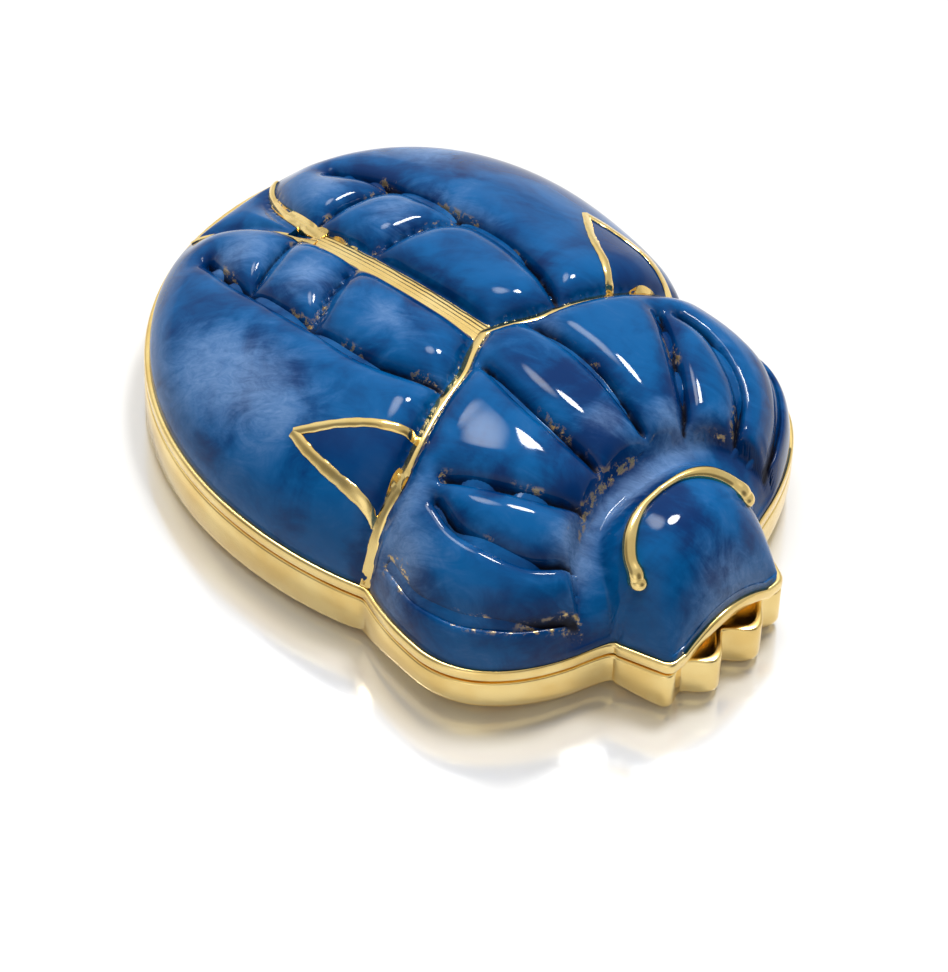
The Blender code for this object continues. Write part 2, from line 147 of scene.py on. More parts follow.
def half_width(y):
    """Half the width of the rim at each Y, from the tail to the corner of the head."""
    tail = WING_HALF_WIDTH * ellipse_share(y - WING_WIDEST_Y, TAIL_Y - WING_WIDEST_Y, TAIL_SQUARENESS)
    wings = WING_HALF_WIDTH * ellipse_share(y - WING_WIDEST_Y, WING_FRONT_REACH, 2.0)
    reach = np.where(y < SHIELD_WIDEST_Y, SHIELD_FRONT_REACH, SHIELD_REAR_REACH)
    shield = SHIELD_HALF_WIDTH * ellipse_share(y - SHIELD_WIDEST_Y, reach, SHIELD_SQUARENESS)
    slope = (HEAD_HALF_WIDTH - TOOTH_HALF_SPAN) / (HEAD_REAR_Y - HEAD_FRONT_Y)
    head = np.where(y < SHIELD_WIDEST_Y, TOOTH_HALF_SPAN + slope * (y - HEAD_FRONT_Y), 0.0)
    body = np.where(y < SHIELD_WIDEST_Y, shield, smooth_larger(wings, shield, WAIST_FILLET))
    body = np.where(y > WING_WIDEST_Y, tail, body)
    return np.where(y < SHIELD_WIDEST_Y, smooth_larger(body, head, NECK_FILLET), body)


def lengths_along(points):
    """Length of a line of points from its start to each of them."""
    return np.concatenate([[0.0], np.cumsum(np.hypot(*np.diff(points, axis=0).T))])


def resample(points, count):
    """This many steps of equal length along a line of points."""
    lengths = lengths_along(points)
    stations = np.linspace(0.0, lengths[-1], count + 1)
    return np.column_stack([np.interp(stations, lengths, points[:, axis]) for axis in (0, 1)])


def tooth_line(x):
    """Y of the base's front edge: a lobe each side of the middle, and a small tooth at each corner."""
    away = np.clip(np.abs(np.abs(x) - LOBE_CENTRE_X) / LOBE_HALF_WIDTH, 0.0, 1.0)
    lobe = (0.5 + 0.5 * np.cos(math.pi * away)) ** LOBE_FULLNESS
    corner = smooth_step(TOOTH_HALF_SPAN - TOOTH_WIDTH, TOOTH_HALF_SPAN, np.abs(x))
    return HEAD_FRONT_Y + TOOTH_REACH - LOBE_REACH * lobe - TOOTH_REACH * corner


def plain_front(x):
    return np.full_like(x, HEAD_FRONT_Y)


def round_corner(points, corner):
    """The line with the corner at this point rounded by a curve that touches both of its sides."""
    lengths = lengths_along(points)
    ends = lengths[corner] + np.array([-CORNER_ROUNDING, CORNER_ROUNDING])
    before, after = np.column_stack([np.interp(ends, lengths, points[:, axis]) for axis in (0, 1)])
    t = ((lengths - ends[0]) / (ends[1] - ends[0]))[:, None]
    curve = (1.0 - t) ** 2 * before + 2.0 * t * (1.0 - t) * points[corner] + t**2 * after
    return np.where((t > 0.0) & (t < 1.0), curve, points)


OUTLINE_SAMPLES = 6000


def outline(front_line, side_points, front_points):
    """The rim's points round the whole box, from the tail along +X to the head and back along -X."""
    angle = np.linspace(0.0, math.pi, OUTLINE_SAMPLES)
    middle = (TAIL_Y + HEAD_FRONT_Y) / 2
    y = middle + (TAIL_Y - middle) * np.cos(angle)
    flank = resample(np.column_stack([half_width(y), y]), side_points)
    corner_x = flank[-1, 0]
    x = np.linspace(corner_x, 0.0, front_points + 1)
    front = np.column_stack([x, front_line(x * TOOTH_HALF_SPAN / corner_x)])
    flank[-1] = front[0]
    half = round_corner(np.vstack([flank, front[1:]]), side_points)
    return np.vstack([half, half[-2:0:-1] * (-1.0, 1.0)])


def spine_points(rim):
    """The line down the middle that the rings close on."""
    y = np.clip(rim[:, 1], HEAD_DOME_TOP_Y, TAIL_Y - SPINE_REAR_REACH)
    return np.column_stack([np.zeros(len(rim)), y])


def inset(rim, distance):
    """The rim moved this far towards the middle line."""
    to_spine = spine_points(rim) - rim
    length = np.hypot(to_spine[:, 0], to_spine[:, 1])[:, None]
    return rim + to_spine / length * np.reshape(distance, (-1, 1))


print("outline of", len(outline(plain_front, 250, 40)), "points")

# %% [markdown]
# ## Lines of the relief
# On the real lid, sunk grooves part the pillows and petals, and raised gilt lines part the fields. Each could
# be cut with a Boolean. Here it is a smooth curve through a few places on the left half, seen from above, and
# a formula sinks or raises the one surface by the distance to it.

# %% Grooves and gilt lines
WING_GROOVE = ((5.9, -1.8), (6.9, 1.2), (7.6, 5.0), (7.6, 9.5), (7.5, 14.0), (7.2, 18.5), (6.4, 22.2))
WING_CROSS_GROOVES = (((7.3, 9.8), (4.3, 11.2), (1.0, 12.0)), ((7.0, 16.8), (4.0, 17.7), (1.1, 18.2)))
SHIELD_GROOVES = (
    ((2.6, -2.9), (3.0, -6.8), (2.9, -10.1), (2.4, -14.2)),
    ((11.0, -7.4), (8.8, -11.0), (6.7, -14.1), (5.3, -15.6)),
    ((12.4, -8.1), (12.8, -10.6), (12.1, -13.4), (10.8, -15.9), (8.4, -17.9)),
    ((16.3, -7.4), (16.8, -10.8), (16.1, -14.3), (13.9, -17.2), (11.3, -19.1), (9.7, -19.9)),
)
COLLAR_EDGE = ((0.0, -14.8), (2.4, -15.0), (5.2, -15.9), (7.4, -17.1), (8.7, -18.5), (9.7, -20.0))
SHIELD_SEAM = (
    (0.0, -0.2), (2.0, -1.0), (3.8, -1.9), (6.5, -2.6), (9.8, -3.7), (12.5, -4.6), (15.0, -5.0), (17.0, -5.7)
)
PETAL_CUSHION_WIDTHS = (2.4, 2.2, 1.8, 1.5)
TAIL_BRANCH = ((0.5, 17.0), (0.8, 19.8), (1.5, 22.6), (2.7, 24.9), (3.7, 25.9), (4.4, 26.3))
FORK_Y = TAIL_BRANCH[0][1]
PLATE_Y = TAIL_BRANCH[1][1]
TRIANGLE_TOP = ((9.8, -3.6), (11.0, -1.8), (11.9, -0.1), (12.9, 1.5), (14.0, 2.9), (15.0, 4.1))
TRIANGLE_SIDE = ((15.0, 4.1), (15.4, 1.6), (15.5, -1.7), (15.1, -5.0))
CRESCENT = ((0.0, -18.4), (2.0, -18.6), (3.8, -19.3), (5.0, -20.4), (5.5, -21.7))


def smooth_line(points, steps=10):
    """A smooth curve through a few points."""
    points = np.array(points, float)
    padded = np.vstack([2 * points[0] - points[1], points, 2 * points[-1] - points[-2]])
    curve = []
    for a, b, c, d in zip(padded, padded[1:], padded[2:], padded[3:]):
        for t in np.arange(steps) / steps:
            curve.append(0.5 * (
                2 * b + (c - a) * t + (2 * a - 5 * b + 4 * c - d) * t**2 + (3 * b - a - 3 * c + d) * t**3
            ))
    return np.vstack([curve, points[-1:]])


def distance_to_line(x, y, points):
    """Distance of each place on the left half to a smooth line through some points."""
    line = smooth_line(points, steps=6)
    nearest = np.full(x.shape, 1e6)
    for start, end in zip(line, line[1:]):
        along = end - start
        share = ((x - start[0]) * along[0] + (y - start[1]) * along[1]) / (along @ along)
        share = np.clip(share, 0.0, 1.0)
        away = np.hypot(x - start[0] - share * along[0], y - start[1] - share * along[1])
        nearest = np.minimum(nearest, away)
    return nearest


print("grooves", 1 + len(WING_CROSS_GROOVES) + len(SHIELD_GROOVES), "a side")

# %% [markdown]
# ## The carved surface
# The lid's face is a plain dome. Each field swells up between its grooves like a small cushion, the collar
# and the tail plate lie lower, and the head stands out of the collar as a dome of its own. It could be
# sculpted by hand, but a function that gives the height anywhere lets enamel and gilt lines fit each other.

# %% Height of the lid's face
DOME_HEIGHT = 11.5
DOME_PEAK_Y = -5.0
DOME_FRONT_REACH = 21.5
DOME_REAR_CURVE = 1.5
DOME_REAR_FULLNESS = 0.66
DOME_FRONT_FALL = 0.85
DOME_FULLNESS = 2.3
SHIELD_EXTRA_FULLNESS = 0.4
FULLNESS_BLEND = 4.0
HEAD_DOME_HEIGHT = 8.7
HEAD_DOME_HALF_WIDTH = 7.4
HEAD_DOME_SQUARENESS = 2.6
HEAD_REAR_STEEPNESS = 1.2
SMALLEST_WIDTH = 0.5
WING_CUSHION_RISE = 2.0
PETAL_CUSHION_RISE = 1.7
GROOVE_DEPTH = 0.35
GROOVE_WIDTH = 0.3
TAIL_PLATE_DROP = 1.3
COLLAR_DROP = 0.8
BAND_HALF_WIDTH = 0.85
LINE_HALF_WIDTH = 0.35
CUSHION_BASE_SHARE = 0.6
EDGE_FADE_HEIGHT = 3.2
RELIEF_BLEND = 0.5


def dome(x, y, width):
    """Height of the plain dome over the seam, without the carving."""
    reach = np.where(y > DOME_PEAK_Y, TAIL_Y - RIM_LEDGE - DOME_PEAK_Y, DOME_FRONT_REACH)
    share = np.clip(np.abs(y - DOME_PEAK_Y) / reach, 0.0, 1.0)
    rear = (1.0 - share**DOME_REAR_CURVE) ** DOME_REAR_FULLNESS
    front = 1.0 - DOME_FRONT_FALL * share**2
    rise = DOME_HEIGHT * np.where(y > DOME_PEAK_Y, rear, front)
    across = np.clip(np.abs(x) / width, 0.0, 1.0)
    fullness = DOME_FULLNESS + SHIELD_EXTRA_FULLNESS * smooth_step(FULLNESS_BLEND, -FULLNESS_BLEND, y)
    return RIM_HEIGHT + rise * np.sqrt(1.0 - across**fullness)


def head_dome(x, y, width):
    """Height of the head, which rises from the collar as a dome of its own."""
    across = np.clip(np.abs(x) / np.minimum(HEAD_DOME_HALF_WIDTH, width), 0.0, 1.0)
    front_reach = HEAD_DOME_TOP_Y - HEAD_FRONT_Y - RIM_LEDGE
    along = np.clip(np.abs(y - HEAD_DOME_TOP_Y) / front_reach, 0.0, 1.0)
    rear_fall = np.clip(along * HEAD_REAR_STEEPNESS, 0.0, 1.0) ** 2
    fall = np.where(y < HEAD_DOME_TOP_Y, along**HEAD_DOME_SQUARENESS, rear_fall)
    left = np.clip((1.0 - across**HEAD_DOME_SQUARENESS) * (1.0 - fall), 0.0, 1.0)
    return RIM_HEIGHT + HEAD_DOME_HEIGHT * np.sqrt(left)


def cushion(distance, width):
    """Rises in a quarter circle from 0 at a groove to 1 at this distance from it."""
    share = np.clip(distance / width, 0.0, 1.0)
    return np.sqrt(share * (2.0 - share))


print("the dome rises", DOME_HEIGHT, "mm over the rim")

# %% [markdown]
# ## Cushions between the lines
# A pillow of the real relief rises steeply from its groove and rounds over towards the middle, like a
# quarter circle. Near several grooves their quarter circles are multiplied, which rounds the corners as a
# file would.

# %% Fields and relief
BAND_CUSHION_WIDTH = 2.7
WING_GROOVE_CUSHION_WIDTH = 2.8
CROSS_GROOVE_CUSHION_WIDTH = 2.6
WING_SEAM_CUSHION_WIDTH = 3.2
PETAL_SEAM_CUSHION_WIDTH = 2.0
COLLAR_CUSHION_WIDTH = 1.9
SEAM_SEAT = 1.3 * LINE_HALF_WIDTH
BRANCH_SEAT = 0.8 * LINE_HALF_WIDTH
SEAM_BLEND = 0.3
COLLAR_REAR_Y = -10.0
COLLAR_HALF_WIDTH = 10.5
PLATE_EDGE = (-0.1, 0.9)
COLLAR_SHADE_REACH = 1.5
COLLAR_SHADE_HALF_WIDTH = 10.0
COLLAR_SHADE_LIFT = 0.22
CROSS_GROOVE_LIFT = 0.12
FAR_AWAY = 99.0


def height_of_line(points, x):
    """Y of a smooth line at each X."""
    line = smooth_line(points)
    return np.interp(x, line[:, 0], line[:, 1])


def fields(x, y):
    """How far each place swells up, and its distances to the collar, grooves and field edges."""
    wing_groove = distance_to_line(x, y, WING_GROOVE)
    crossing = np.minimum.reduce([distance_to_line(x, y, line) for line in WING_CROSS_GROOVES])
    petal_grooves = [distance_to_line(x, y, line) for line in SHIELD_GROOVES]
    seam = np.maximum(distance_to_line(x, y, SHIELD_SEAM) - SEAM_SEAT, 0.0)
    beside_band = np.where(y < PLATE_Y, np.maximum(x - BAND_HALF_WIDTH, 0.0), FAR_AWAY)
    branch = np.maximum(distance_to_line(x, y, TAIL_BRANCH) - BRANCH_SEAT, 0.0)
    inner_edge = np.minimum(beside_band, np.where(y > FORK_Y, branch, FAR_AWAY))
    groove_line = smooth_line(WING_GROOVE)
    inside_groove = np.interp(y, groove_line[:, 1], groove_line[:, 0]) - x
    between = smooth_step(-RELIEF_BLEND, RELIEF_BLEND, inside_groove)
    crossed = 1.0 - between * (1.0 - cushion(crossing, CROSS_GROOVE_CUSHION_WIDTH))
    wings = cushion(inner_edge, BAND_CUSHION_WIDTH) * cushion(wing_groove, WING_GROOVE_CUSHION_WIDTH)
    wings = wings * crossed * cushion(seam, WING_SEAM_CUSHION_WIDTH)
    beyond_collar = y - height_of_line(COLLAR_EDGE, x)
    beside_collar = (y < COLLAR_REAR_Y) & (x < COLLAR_HALF_WIDTH)
    collar_edge = np.where(beside_collar, np.abs(beyond_collar), FAR_AWAY)
    petals = cushion(seam, PETAL_SEAM_CUSHION_WIDTH) * cushion(collar_edge, COLLAR_CUSHION_WIDTH)
    for distance, reach in zip(petal_grooves, PETAL_CUSHION_WIDTHS):
        petals = petals * cushion(distance, reach)
    on_wings = smooth_step(-SEAM_BLEND, SEAM_BLEND, y - height_of_line(SHIELD_SEAM, x))
    groove = np.minimum.reduce([wing_groove, *petal_grooves])
    swelling = WING_CUSHION_RISE * (wings - CUSHION_BASE_SHARE) * on_wings
    swelling = swelling + PETAL_CUSHION_RISE * (petals - CUSHION_BASE_SHARE) * (1.0 - on_wings)
    field_edge = np.minimum.reduce([groove, crossing, inner_edge, collar_edge, seam])
    return swelling, beyond_collar, groove, crossing, field_edge


def relief(x, y):
    """Height of the lid's face, how far each place is from the grooves and the collar's step, where the enamel
    takes painted shade, and how far from a field's edge.
    """
    width = np.maximum(half_width(y) - RIM_LEDGE, SMALLEST_WIDTH)
    x = np.abs(x)
    plain = dome(x, y, width)
    edge_fade = smooth_step(0.0, EDGE_FADE_HEIGHT, plain - RIM_HEIGHT)
    swelling, beyond_collar, groove, crossing, field_edge = fields(x, y)
    on_petals = smooth_step(-RELIEF_BLEND, RELIEF_BLEND, beyond_collar)
    collar_level = CUSHION_BASE_SHARE * PETAL_CUSHION_RISE
    carving = (swelling + collar_level) * on_petals - collar_level
    carving -= GROOVE_DEPTH * np.exp(-((groove / GROOVE_WIDTH) ** 2))
    carving -= COLLAR_DROP * (1.0 - on_petals)
    branch_line = smooth_line(TAIL_BRANCH)
    inside_branch = np.interp(y, branch_line[:, 1], branch_line[:, 0]) - x
    carving -= TAIL_PLATE_DROP * smooth_step(*PLATE_EDGE, inside_branch) * smooth_step(FORK_Y, PLATE_Y, y)
    shield = np.maximum(plain + carving * edge_fade, RIM_HEIGHT)
    height = smooth_larger(shield, head_dome(x, y, width), RELIEF_BLEND)
    # Where the enamel gets painted shade: along the grooves, and a little narrower along the collar's step and
    # the cross grooves.
    from_collar = np.abs(beyond_collar)
    shaded = (from_collar < COLLAR_SHADE_REACH) & (x < COLLAR_SHADE_HALF_WIDTH)
    near_collar = np.where(shaded, from_collar + COLLAR_SHADE_LIFT, FAR_AWAY)
    sunk = np.minimum.reduce([groove, near_collar, crossing + CROSS_GROOVE_LIFT])
    return height, sunk, field_edge


ARCH_HALF_WIDTH = 4.4
ARCH_HEIGHT = 1.5


def front_arch(rim):
    """How far the lid's edge is raised over the thumb recess."""
    share = np.clip(np.abs(rim[:, 0]) / ARCH_HALF_WIDTH, 0.0, 1.0)
    return ARCH_HEIGHT * (1.0 - share**2) * smooth_step(HEAD_FRONT_Y + RIM_LEDGE, HEAD_FRONT_Y, rim[:, 1])


middle_height = relief(np.array([0.0]), np.array([DOME_PEAK_Y]))[0]
print("middle of the shield stands", round(float(middle_height[0]), 2), "mm over the seam")

# %% [markdown]
# ## Building a casting from rings
# A cast shell has an outside and an inside that run side by side. A Solidify modifier would give the same
# wall everywhere. Here rings run from the middle line out to the rim, round it and back, each at its own
# height. Quads join each ring to the next, and the rings on the middle line close the body.

# %% Ring lofting
def new_piece(name, vertices, faces, smooth_angle=40.0):
    mesh = bpy.data.meshes.new(name)
    mesh.from_pydata([tuple(v) for v in vertices], [], faces)
    shape = bmesh.new()
    shape.from_mesh(mesh)
    bmesh.ops.remove_doubles(shape, verts=shape.verts, dist=0.000002)
    bmesh.ops.recalc_face_normals(shape, faces=shape.faces)
    shape.to_mesh(mesh)
    shape.free()
    mesh.shade_smooth()
    mesh.set_sharp_from_angle(angle=math.radians(smooth_angle))
    piece = bpy.data.objects.new(name, mesh)
    bpy.context.scene.collection.objects.link(piece)
    return piece


def ring_faces(ring_count, count):
    i = np.arange(count)
    j = (i + 1) % count
    faces = []
    for ring in range(ring_count - 1):
        low = ring * count
        high = low + count
        faces.extend(np.column_stack([low + i, low + j, high + j, high + i]).tolist())
    return faces


def loft(name, rings, smooth_angle=40.0):
    """One closed body from rings of points in the beetle's millimetres."""
    points = np.vstack([in_frame(ring[:, 0], ring[:, 1], ring[:, 2]) for ring in rings])
    return new_piece(name, points, ring_faces(len(rings), len(rings[0])), smooth_angle)


def ring_at(points, z):
    return np.column_stack([points, np.broadcast_to(z, len(points))])


print("ring lofting ready")

# %% [markdown]
# ## The enamel
# Powdered glass was fused into the fields of the lid, so its skin follows the carving. A bump texture would
# leave the highlights unbroken: here it is one thin shell over the casting, fine enough for every groove. It
# keeps four measures on its vertices: how near a groove or the collar's step is, where shade is painted, how
# near a field's edge, how milky the glass is with some painted light in it, and whether the place lies in a
# shoulder's triangle.

# %% Enamel shell
ENAMEL_SIDE_POINTS = 255
ENAMEL_FRONT_POINTS = 40
ENAMEL_RINGS = 130
ENAMEL_THICKNESS = 0.3
ENAMEL_MIDDLE_EXTRA = 0.9
UNDERSIDE_RINGS = 9
UNDERSIDE_START = 0.02
ARCH_FADE = 12
MEASURE_LIMIT = 20.0
# Milk clouds, partly the glass's own milk and partly painted light: brighter middles on the wing pillows and a
# painted reflection of the floor on the near wing case's outer side.
MILK_AND_SHEEN_CLOUDS = (
    (-14.0, 11.0, 3.4, 7.0, 0.95), (-4.6, 13.6, 2.0, 2.0, 0.7), (-4.6, 20.2, 2.2, 2.0, 0.7),
    (-16.0, -8.5, 2.0, 2.4, 0.8), (4.4, 13.6, 2.0, 2.0, 0.6), (4.2, 20.6, 1.8, 1.8, 0.7),
    (0.0, -16.4, 6.5, 1.2, 0.95), (-7.4, -17.6, 1.8, 1.6, 0.7), (-13.6, -6.6, 2.0, 1.2, 0.6),
    (12.5, 18.0, 3.0, 4.0, 0.5), (0.0, -25.4, 5.0, 1.4, 0.5), (-4.2, 5.0, 1.4, 3.4, 0.45),
    (4.6, -14.2, 1.4, 1.2, 0.6), (0.2, -12.4, 1.8, 1.6, 0.6), (3.4, -3.6, 1.4, 1.2, 0.4),
    (8.4, 9.6, 1.2, 5.0, 0.3),
)


def inside_triangle(x, y):
    """1 in the shoulder's fields between the three gilt lines, and 0 elsewhere."""
    side = smooth_line(TRIANGLE_SIDE)
    below_top = y < height_of_line(TRIANGLE_TOP, x)
    above_seam = y > height_of_line(SHIELD_SEAM, x)
    within_side = x < np.interp(y, side[::-1, 1], side[::-1, 0])
    return (below_top & above_seam & within_side & (x > TRIANGLE_TOP[0][0])).astype(float)


def milk_and_sheen(x, y):
    """How milky the glass is, with painted light in some clouds. A cloud is its middle, its reaches along X
    and Y, and its strength.
    """
    clouds = [
        power * np.exp(-(((x - u) / a) ** 2) - ((y - v) / b) ** 2) for u, v, a, b, power in MILK_AND_SHEEN_CLOUDS
    ]
    return np.sum(clouds, axis=0)


def build_enamel():
    rim = outline(plain_front, ENAMEL_SIDE_POINTS, ENAMEL_FRONT_POINTS)
    spine = spine_points(rim)
    edge = inset(rim, RIM_LEDGE)
    arch = front_arch(rim)
    even = np.linspace(0.0, 1.0, ENAMEL_RINGS)
    rings = []
    for share in ((even**1.5 + even) / 2)[::-1]:
        points = edge + (spine - edge) * share
        height, _, _ = relief(points[:, 0], points[:, 1])
        rings.append(ring_at(points, height + arch * (1.0 - share) ** ARCH_FADE))
    rings.append(ring_at(edge, RIM_HEIGHT + arch - ENAMEL_THICKNESS))
    for share in np.linspace(UNDERSIDE_START, 1.0, UNDERSIDE_RINGS):
        points = edge + (spine - edge) * share
        height, _, _ = relief(points[:, 0], points[:, 1])
        underside = height + arch * (1.0 - share) ** ARCH_FADE - ENAMEL_THICKNESS
        rings.append(ring_at(points, underside - ENAMEL_MIDDLE_EXTRA * share))
    enamel = loft("lid_enamel", rings, smooth_angle=80.0)
    places = np.empty(len(enamel.data.vertices) * 3)
    enamel.data.vertices.foreach_get("co", places)
    places = places.reshape(-1, 3) / MM
    x, y = places[:, 0], places[:, 1] + CENTRE_Y
    _, sunk, field_edge = relief(x, y)
    measures = {
        "groove_distance": sunk,
        "edge_distance": field_edge,
        "milk_and_sheen": milk_and_sheen(x, y),
        "shoulder": inside_triangle(np.abs(x), y),
    }
    for name, values in measures.items():
        kept = enamel.data.attributes.new(name, "FLOAT", "POINT")
        kept.data.foreach_set("value", np.clip(values, 0.0, MEASURE_LIMIT).astype(np.float32))
    return enamel


lid_enamel = build_enamel()
print("enamel faces", len(lid_enamel.data.polygons))

# %% [markdown]
# ## The lid's casting
# The lid's casting shows as the polished rim band under the enamel and, inside, as a plain lining. A Bevel
# modifier could round its edges, but corners built into the rings keep their size all round.

# %% Lid casting
SEAM_GAP = 0.3
LID_WALL = 1.2
GILT_SIDE_POINTS = 200
GILT_FRONT_POINTS = 44
EDGE_ROUND = 0.22
RIM_ROUND = 0.32
HIDDEN_TOP_INSET = 1.6
HIDDEN_TOP_DROP = 2.0
LINING_DROP = 2.6
LINING_ARCH_FADE = 4


def rounded_corner(rings, rim, at_inset, at_height, turn_from, turn_to, radius, steps=4):
    """Adds rings round a corner of the profile. The angles say where the corner's face points."""
    for angle in np.radians(np.linspace(turn_from, turn_to, steps)):
        distance = at_inset - radius * math.cos(angle)
        rings.append(ring_at(inset(rim, distance), at_height + radius * math.sin(angle)))


def build_lid_casting():
    rim = outline(plain_front, GILT_SIDE_POINTS, GILT_FRONT_POINTS)
    spine = spine_points(rim)
    arch = front_arch(rim)
    rings = []
    for share in np.linspace(1.0, 0.0, 14):
        points = inset(rim, HIDDEN_TOP_INSET)
        points = points + (spine - points) * share
        height, _, _ = relief(points[:, 0], points[:, 1])
        rings.append(ring_at(points, height + arch * (1.0 - share) ** ARCH_FADE - HIDDEN_TOP_DROP))
    rings.append(ring_at(inset(rim, RIM_LEDGE + 0.35), RIM_HEIGHT + arch - 0.4))
    rings.append(ring_at(inset(rim, RIM_LEDGE + 0.05), RIM_HEIGHT + arch - 0.04))
    rounded_corner(rings, rim, RIM_ROUND, RIM_HEIGHT + arch - RIM_ROUND, 80, 0, RIM_ROUND, steps=6)
    rounded_corner(rings, rim, EDGE_ROUND, SEAM_GAP / 2 + arch + EDGE_ROUND, 0, -90, EDGE_ROUND)
    lining = inset(rim, LID_WALL)
    rings.append(ring_at(lining, SEAM_GAP / 2 + arch))
    for share in np.linspace(0.0, 1.0, 24) ** 1.3:
        points = lining + (spine - lining) * share
        width = np.maximum(half_width(points[:, 1]) - LID_WALL, SMALLEST_WIDTH)
        height = dome(points[:, 0], points[:, 1], width) - LINING_DROP
        floor = RIM_HEIGHT + arch * (1.0 - share) ** LINING_ARCH_FADE - 0.1
        rings.append(ring_at(points, np.maximum(height, floor)))
    return loft("lid_casting", rings)


lid_casting = build_lid_casting()
print("lid casting faces", len(lid_casting.data.polygons))

# %% [markdown]
# ## The base's casting
# The base is an upright wall that turns under to a flat foot, with a lip inside that the lid drops over. The
# wall is lower at the shield than at the wings and the teeth, which an extruded body couldn't follow, so the
# base is lofted from the same kind of rings.

# %% Base casting
WING_WALL_DEPTH = 3.75
SHIELD_WALL_DEPTH = 2.1
TOOTH_WALL_DEPTH = 3.5
TOOTH_WALL_RAMP = 3.5
WING_WALL_FRONT_Y = -4.0
WING_WALL_RAMP = 7.0
UNDERSIDE_INSET = 4.2
FRONT_UNDERSIDE_INSET = 1.4
LIP_THICKNESS = 0.9
LIP_HEIGHT = 0.9
LIP_CLEARANCE = 0.3
BASE_WALL = 1.2
FLOOR_THICKNESS = 1.2
INNER_CORNER = 0.4
INNER_FOOT_INSET = 0.3
FRONT_BLOCK = 2.0


def front_share(rim):
    """1 at the head's front edge, 0 from the shield on."""
    return smooth_step(HEAD_REAR_Y, HEAD_FRONT_Y + CORNER_ROUNDING, rim[:, 1])


def wall_depth(rim):
    """How far the base's upright wall reaches below the seam."""
    y = rim[:, 1]
    wings = smooth_step(WING_WALL_FRONT_Y - WING_WALL_RAMP, WING_WALL_FRONT_Y, y)
    teeth = smooth_step(HEAD_REAR_Y + TOOTH_WALL_RAMP, HEAD_FRONT_Y + CORNER_ROUNDING, y)
    depth = SHIELD_WALL_DEPTH + (WING_WALL_DEPTH - SHIELD_WALL_DEPTH) * wings
    return depth + (TOOTH_WALL_DEPTH - SHIELD_WALL_DEPTH) * teeth


def build_base_casting():
    rim = outline(tooth_line, GILT_SIDE_POINTS, GILT_FRONT_POINTS)
    plain = outline(plain_front, GILT_SIDE_POINTS, GILT_FRONT_POINTS)
    spine = spine_points(plain)
    wall = wall_depth(rim)
    curve = BASE_DEPTH - wall
    foot_inset = UNDERSIDE_INSET - (UNDERSIDE_INSET - FRONT_UNDERSIDE_INSET) * front_share(rim)
    rings = [ring_at(spine, -BASE_DEPTH)]
    for angle in np.radians(np.linspace(90.0, 0.0, 12)):
        points = inset(rim, foot_inset * (1.0 - math.cos(angle)))
        rings.append(ring_at(points, -wall - curve * math.sin(angle)))
    rounded_corner(rings, rim, EDGE_ROUND, -SEAM_GAP / 2 - EDGE_ROUND, 0, 90, EDGE_ROUND)
    lip = LID_WALL + LIP_CLEARANCE + FRONT_BLOCK * front_share(plain)
    rings.append(ring_at(inset(plain, lip), -SEAM_GAP / 2))
    rings.append(ring_at(inset(plain, lip), LIP_HEIGHT))
    rings.append(ring_at(inset(plain, lip + LIP_THICKNESS), LIP_HEIGHT))
    floor = -BASE_DEPTH + FLOOR_THICKNESS
    rings.append(ring_at(inset(plain, lip + LIP_THICKNESS), np.maximum(-wall + INNER_CORNER, floor)))
    inner_foot = np.maximum(lip + LIP_THICKNESS + INNER_FOOT_INSET, BASE_WALL + foot_inset)
    rings.append(ring_at(inset(plain, inner_foot), floor))
    rings.append(ring_at(spine, floor))
    return loft("base_casting", rings)


base_casting = build_base_casting()
print("base casting faces", len(base_casting.data.polygons))

# %% [markdown]
# ## The thumb recess
# A thumb finds the lid's edge in a small recess behind the lobes. Extra rings could leave it open, but a
# Boolean sinks it as a milling tool would: its front follows the lobes and leaves a thin wall.

# %% Thumb recess
RECESS_HALF_WIDTH = 3.7
RECESS_WALL = 0.6
RECESS_DEPTH = 1.8
RECESS_REAR_Y = -24.1
RECESS_POINTS = 81
CUTTER_TOP = 1.0


def cut_thumb_recess(base):
    x = np.linspace(-RECESS_HALF_WIDTH, RECESS_HALF_WIDTH, RECESS_POINTS)
    front = np.column_stack([x, tooth_line(x) + RECESS_WALL])
    rear = np.array([[RECESS_HALF_WIDTH, RECESS_REAR_Y], [-RECESS_HALF_WIDTH, RECESS_REAR_Y]])
    loop = np.vstack([front, rear])
    count = len(loop)
    low = in_frame(loop[:, 0], loop[:, 1], -RECESS_DEPTH)
    high = in_frame(loop[:, 0], loop[:, 1], CUTTER_TOP)
    sides = [(i, (i + 1) % count, count + (i + 1) % count, count + i) for i in range(count)]
    faces = [tuple(range(count))[::-1], tuple(range(count, 2 * count)), *sides]
    cutter = new_piece("thumb_recess_cutter", np.vstack([low, high]), faces)
    cut = base.modifiers.new("thumb recess", "BOOLEAN")
    cut.operation = "DIFFERENCE"
    cut.solver = "EXACT"
    cut.object = cutter
    graph = bpy.context.evaluated_depsgraph_get()
    carved = bpy.data.meshes.new_from_object(base.evaluated_get(graph))
    base.modifiers.clear()
    base.data = carved
    base.data.set_sharp_from_angle(angle=math.radians(40.0))
    bpy.data.objects.remove(cutter)


cut_thumb_recess(base_casting)
print("base faces after the cut", len(base_casting.data.polygons))

# %% [markdown]
# ## Gilt lines
# Between the fields the casting shows as narrow lines, flush with the glass or a little proud, polished on
# top. They could be painted by the material, but a low rounded strip that follows the carved surface has a
# real edge that catches light.

# %% Strips along the surface
STRIP_PROFILE = (
    (-1.0, -0.5), (-1.0, 0.10), (-0.82, 0.17), (-0.45, 0.22), (0.0, 0.24),
    (0.45, 0.22), (0.82, 0.17), (1.0, 0.10), (1.0, -0.5),
)


